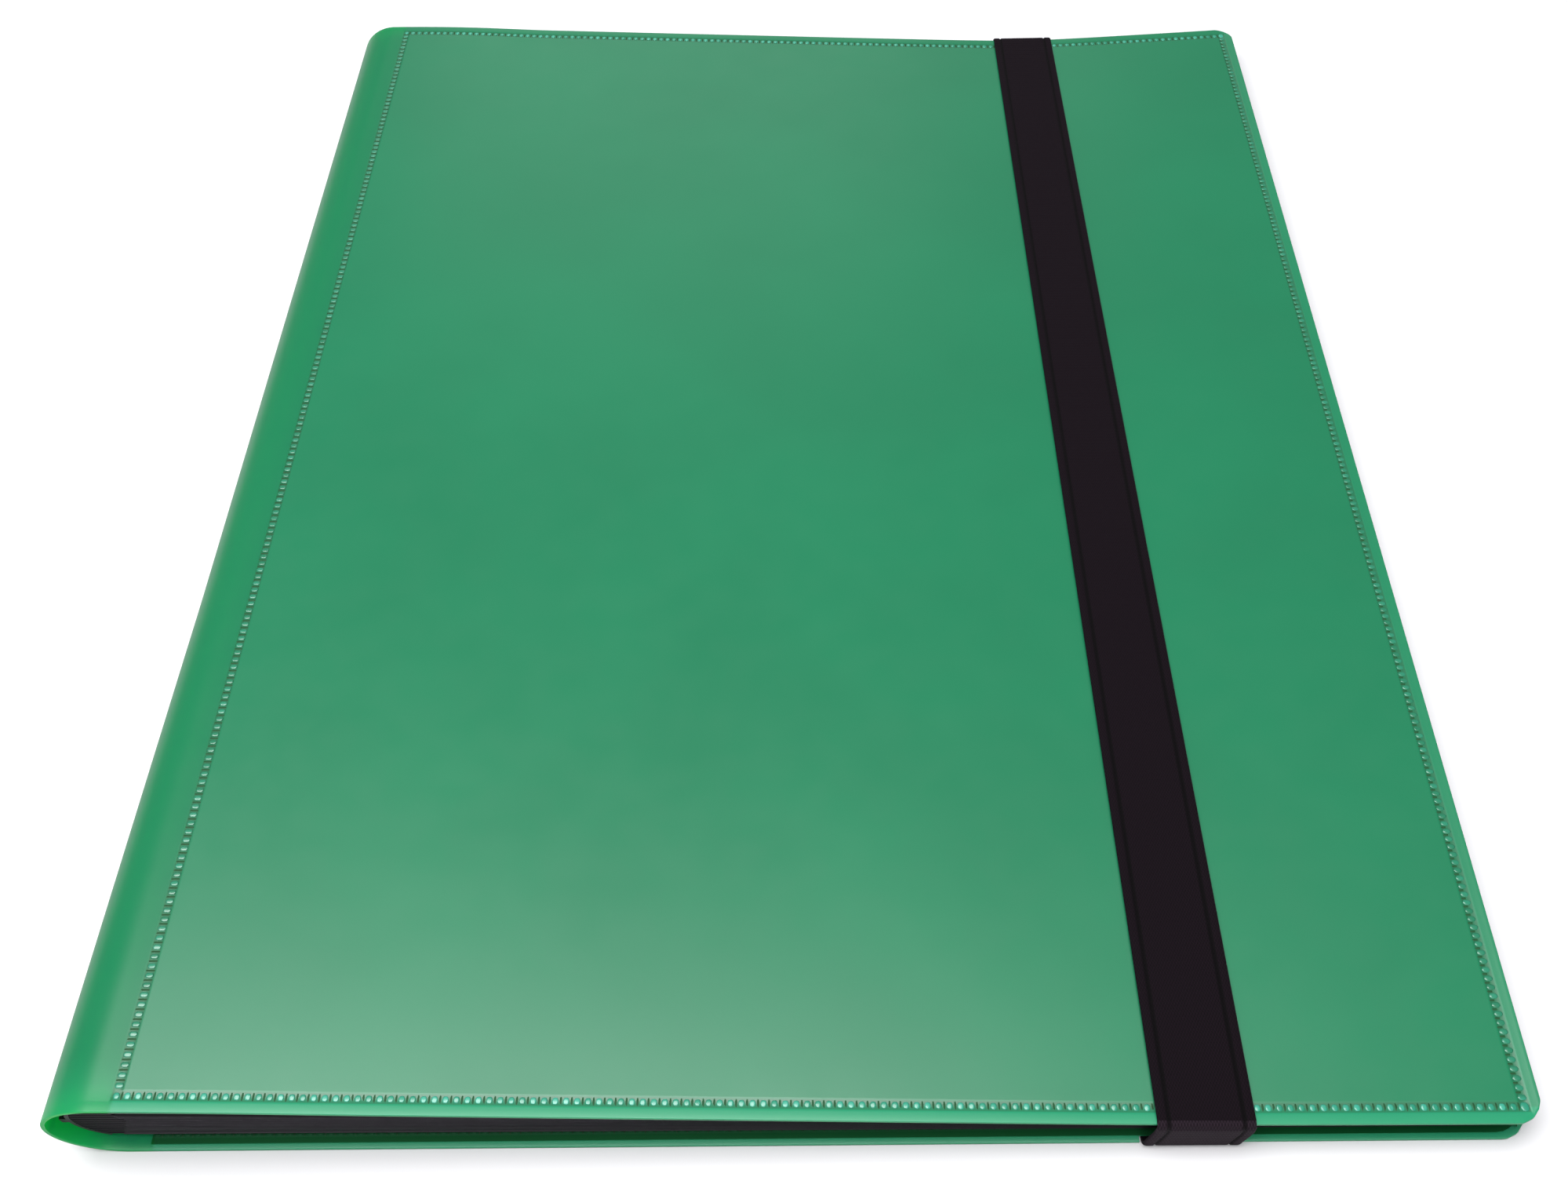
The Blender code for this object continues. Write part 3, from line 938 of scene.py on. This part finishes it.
def strap_side(side, material, leg_material):
    """The strap's fixed end, its foot and its leg at the tail or the head."""
    label = "tail" if side < 0 else "head"
    x, top, lean_x, stations = side_stations(side)
    across = Vector((1, 0, 0))
    ends = [front_surface(x + step, side * HALF_LENGTH).z for step in (-5 * MM, 5 * MM)]
    slope = (ends[1] - ends[0]) / (10 * MM)
    pieces, travelled, previous = {}, 0, None
    for y, z, normal, half, crease, piece_name in stations:
        share = smooth(z / (top - TURN_RADIUS))
        place = Vector((x + lean_x * (1 - share), y, z))
        if previous is not None:
            travelled += (place - previous).length
        previous = place
        slanted = across + Vector((0, 0, slope * z / top))
        ring, uvs = ring_at(place, slanted, normal, half, travelled, crease)
        rings = pieces.setdefault(piece_name, ([], []))
        rings[0].append(ring)
        rings[1].append(uvs)
    join_pieces(pieces)
    made = {}
    for piece, (piece_rings, piece_uvs) in pieces.items():
        # painted light: the leg takes the lighter copy of the webbing
        finish = leg_material if piece == "leg" else material
        made[piece] = loft(f"strap_{piece}_{label}_band", piece_rings, piece_uvs, finish)
    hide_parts(f"strap_end_{label}")
    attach(made["end"], "back_cover")
    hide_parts(f"strap_turn_{label}")
    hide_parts(f"strap_turn_{label}")
    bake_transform(made["foot"])
    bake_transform(made["leg"])


def join_pieces(pieces):
    """Starts each piece on the ring where the one before it ends, so that the band has no gap."""
    names = list(pieces)
    for before, after in zip(names, names[1:]):
        if pieces[before][0][-1] != pieces[after][0][0]:
            pieces[after][0].insert(0, pieces[before][0][-1])
            pieces[after][1].insert(0, pieces[before][1][-1])


def strap_span(material):
    """The band that lies across the front cover, from the tail turn to the head turn."""
    end = HALF_LENGTH + STRAP_CLEARANCE + STRAP_HALF - TURN_RADIUS
    rings, all_uvs = [], []
    for y in spread(-end, end, RIB_PITCH / RIB_SAMPLES):
        x = strap_x(y)
        left, right = front_surface(x - 5 * MM, y), front_surface(x + 5 * MM, y)
        along_x = (right - left).normalized()
        normal = Vector((-along_x.z, 0, along_x.x))

        def base(a, x=x, y=y, normal=normal):
            return front_surface(x + a, y) + normal * (STRAP_LIFT + STRAP_HALF)

        ring, uvs = ring_at(base, None, normal, STRAP_HALF, y + end)
        rings.append(ring)
        all_uvs.append(uvs)
    span = loft("strap_span_band", rings, all_uvs, material)
    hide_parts("strap_span")
    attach(span, "strap")


# ------------------------------------------------------------------ stage


def floor():
    bm = bmesh.new()
    bmesh.ops.create_grid(bm, x_segments=1, y_segments=1, size=3)
    mesh = bpy.data.meshes.new("floor")
    bm.to_mesh(mesh)
    bm.free()
    material, tree = new_material("floor")
    body = node(tree, "BsdfPrincipled", Base_Color=(0.55, 0.545, 0.555, 1), Roughness=0.8)
    clear = node(tree, "BsdfTransparent")
    below = node(tree, "NewGeometry").outputs["Backfacing"]
    mixed = node(tree, "MixShader", i0=below, i1=body.outputs[0], i2=clear.outputs[0])
    node(tree, "OutputMaterial", Surface=mixed.outputs[0])
    mesh.materials.append(material)
    obj = bpy.data.objects.new("floor", mesh)
    obj.location.z = -0.1 * MM
    bpy.context.scene.collection.objects.link(obj)


def area_light(name, place, size, power):
    """A soft light: tilted about X only, so that its sides stay level with the album's."""
    light = bpy.data.lights.new(name, "AREA")
    light.shape, light.energy = "RECTANGLE", power
    light.size, light.size_y = size
    obj = bpy.data.objects.new(name, light)
    obj.location = place
    obj.rotation_euler = (-math.atan2(place[1], place[2]), 0, 0)
    bpy.context.scene.collection.objects.link(obj)


def lights():
    area_light("overhead", (-0.28, -0.12, 1.2), (1.25, 0.8), 31)
    area_light("far_side", (-0.1, 1.6, 0.9), (0.8, 0.8), 2)
    area_light("near_side", (0.3, -1.5, 0.8), (1.2, 1.2), 12)
    world = bpy.data.worlds.new("studio")
    world.use_nodes = True
    world.node_tree.nodes["Background"].inputs["Color"].default_value = (0.93, 0.95, 1.0, 1)
    world.node_tree.nodes["Background"].inputs["Strength"].default_value = 0.45
    bpy.context.scene.world = world
    bpy.context.scene.view_settings.view_transform = "Standard"


CAMERA_PLACE = (0.0168, -0.2572, 0.2886)
CAMERA_PITCH = math.radians(52.68)
CAMERA_YAW = math.radians(-4.77)
CAMERA_ROLL = math.radians(-5.35)
FOCAL = 1950 / 1999 * 36


def camera():
    """A viewpoint above the tail edge, looking down and slightly towards the spine."""
    cp, sp = math.cos(CAMERA_PITCH), math.sin(CAMERA_PITCH)
    cy, sy = math.cos(CAMERA_YAW), math.sin(CAMERA_YAW)
    forward = Vector((sy * cp, cy * cp, -sp))
    right = Vector((cy, -sy, 0))
    up = right.cross(forward)
    cr, sr = math.cos(CAMERA_ROLL), math.sin(CAMERA_ROLL)
    right, up = right * cr + up * sr, up * cr - right * sr
    data = bpy.data.cameras.new("camera")
    data.lens, data.sensor_width = FOCAL, 36
    obj = bpy.data.objects.new("camera", data)
    turn = Matrix((right, up, -forward)).transposed()
    obj.matrix_world = Matrix.Translation(CAMERA_PLACE) @ turn.to_4x4()
    bpy.context.scene.collection.objects.link(obj)
    bpy.context.scene.camera = obj


# ------------------------------------------------------------------ build


def build_cover():
    sheet = sheet_material("cover_sheet", SHEET_GREEN, LIT_BORDER_GREEN, SPINE_GREEN, 0.14, 0.32)
    # painted light: the rim material is a brighter green for the glow at the sheet's cut edges
    edge = sheet_material("cover_edge_painted_glow", LIT_EDGE_GREEN, LIT_EDGE_GREEN, LIT_EDGE_GREEN, 0.2, 0.45)
    # partly its own darker green, partly painted shade: the lining and the inner weld dots are darkened for
    # the shade inside the closed album
    inner = sheet_material("cover_lining", SHADED_LINING_GREEN, SHADED_LINING_GREEN, SHADED_LINING_GREEN, 0.04, 0.5, gloss=0.12)
    # painted shade: the slots between the weld dots take a dark olive green
    slot = plain_material("weld_slot_painted_shade", (0.010, 0.052, 0.018), 0.5, 0.3 * MM, 0.02 * MM, 0.12)
    dots = [dot_material(), slot]
    back, front = cover_half(False, [sheet, edge]), cover_half(True, [sheet, edge])
    cut_notches(back)
    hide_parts("back_cover_sheet", "spine_sheet")
    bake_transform(back)
    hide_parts("front_cover_sheet", "spine_sheet")
    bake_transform(front)
    for is_front, body in ((False, "back_cover"), (True, "front_cover")):
        label = "front" if is_front else "back"
        inside = lining(is_front, [inner, edge])
        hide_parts(f"{label}_lining")
        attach(inside, body)
        for face in ("outer", "inner"):
            finishes = dots if face == "outer" else [inner, slot]
            welds = weld_dots(f"weld_{label}_{face}", is_front, face, finishes)
            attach(welds, body)


def build_leaves():
    core = plain_material("leaf_core", (0.009, 0.006, 0.011), 0.5, 0.5 * MM, 0.04 * MM, 0.15)
    film = film_material()
    hem = plain_material("pocket_weld", (0.030, 0.028, 0.032), 0.5, 0.4 * MM, 0.03 * MM, 0.3)
    count = sum(1 for name in joints if name.startswith("leaf_"))
    for number in range(1, count + 1):
        make_leaf(number, core, film, hem)
    binding = frame["nodes"]["leaf_binding"]
    binding.data.materials.clear()
    binding.data.materials.append(
        plain_material("leaf_binding", (0.010, 0.007, 0.011), 0.45, 0.4 * MM, 0.03 * MM, 0.2)
    )


def build_strap():
    webbing = webbing_material("webbing", (0.0010, 0.0003, 0.0009), (0.0046, 0.0016, 0.0040))
    # painted light: a lighter copy of the webbing for the upright legs, which face the near light
    lit_webbing = webbing_material("webbing_lit_leg", (0.0035, 0.0017, 0.0032), (0.015, 0.009, 0.0138))
    strap_side(-1, webbing, lit_webbing)
    strap_side(1, webbing, lit_webbing)
    strap_span(webbing)


build_cover()
build_leaves()
build_strap()
floor()
lights()
camera()
